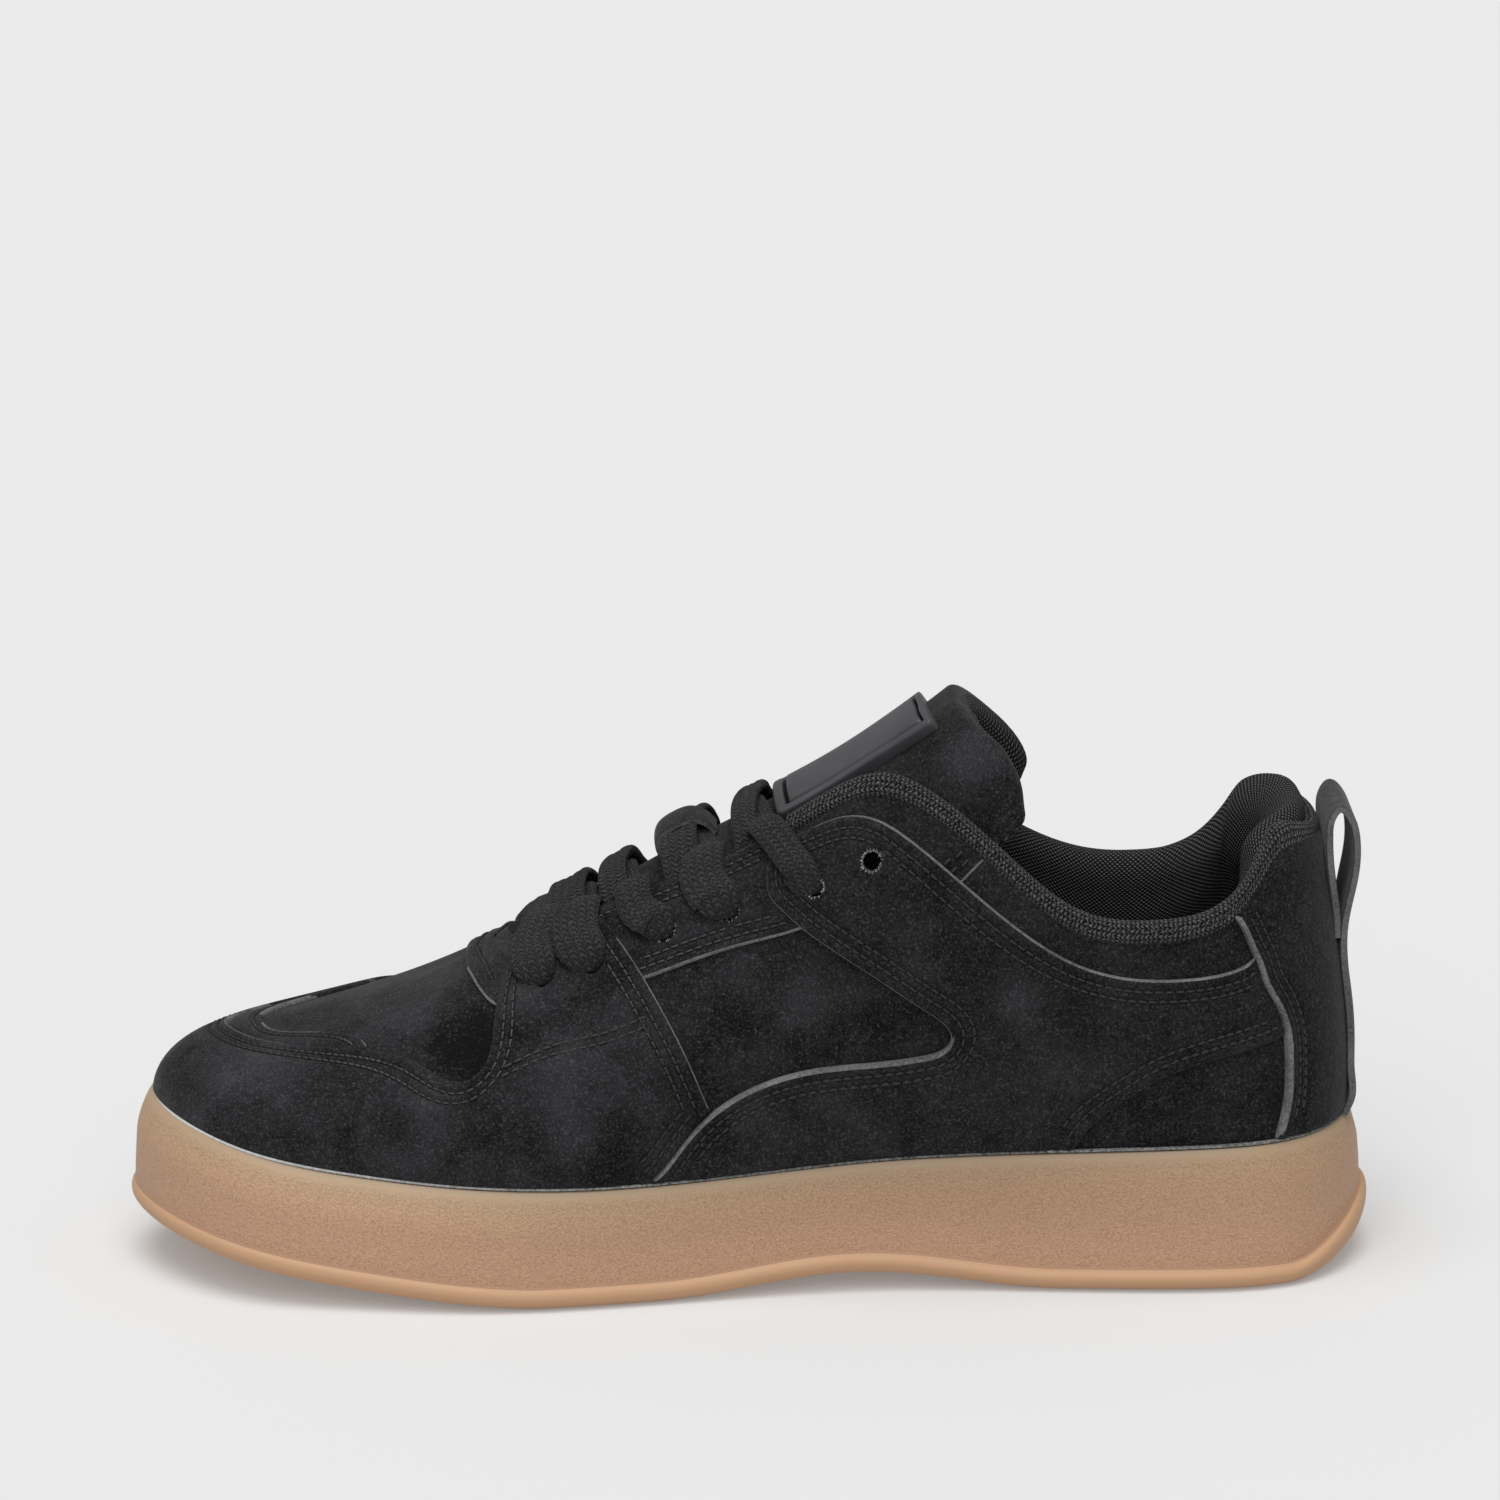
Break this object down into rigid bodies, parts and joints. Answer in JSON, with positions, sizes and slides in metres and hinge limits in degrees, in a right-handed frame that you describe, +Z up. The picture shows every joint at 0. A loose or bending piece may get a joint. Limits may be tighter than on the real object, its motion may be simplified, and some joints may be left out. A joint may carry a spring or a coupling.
{
  "type": "sneaker",
  "caption": "Low-cut lace-up sneaker: hollow leather upper with overlays, padded collar and tongue, flat laces and heel pull loop, on a moulded rubber cup sole.",
  "frame": {"origin": "middle of the bounding box's base, on the floor under the waist", "axes": "+X from toe to heel, +Y toward the outer (lateral) side, +Z up"},
  "size_m": [0.29, 0.1053, 0.134],
  "materials": {
    "rubber_tan": "matte, finely stippled",
    "nubuck": "matte nap",
    "mesh_lining": "knitted spacer mesh",
    "knit_tape": "ribbed knit",
    "lace_weave": "flat weave",
    "footbed": "matte",
    "patch_rubber": "satin"
  },
  "bodies": {
    "root": {"cupsole": "rubber_tan", "insole": "footbed", "upper": "nubuck", "toe_guard": "nubuck", "toe_inlay": "nubuck", "throat_tab": "nubuck", "eyestay_medial": "nubuck", "eyestay_lateral": "nubuck", "quarter_medial": "nubuck", "quarter_lateral": "nubuck", "heel_counter": "nubuck", "collar_lining": "mesh_lining", "collar_tape": "knit_tape", "heel_loop": "lace_weave", "tongue": "nubuck", "tongue_patch": "patch_rubber", "lace_keeper": "nubuck", "lace_bar": "lace_weave", "lace_cross_2": "lace_weave", "lace_cross_3": "lace_weave", "lace_cross_4": "lace_weave", "lace_cross_5": "lace_weave"}
  },
  "joints": []
}
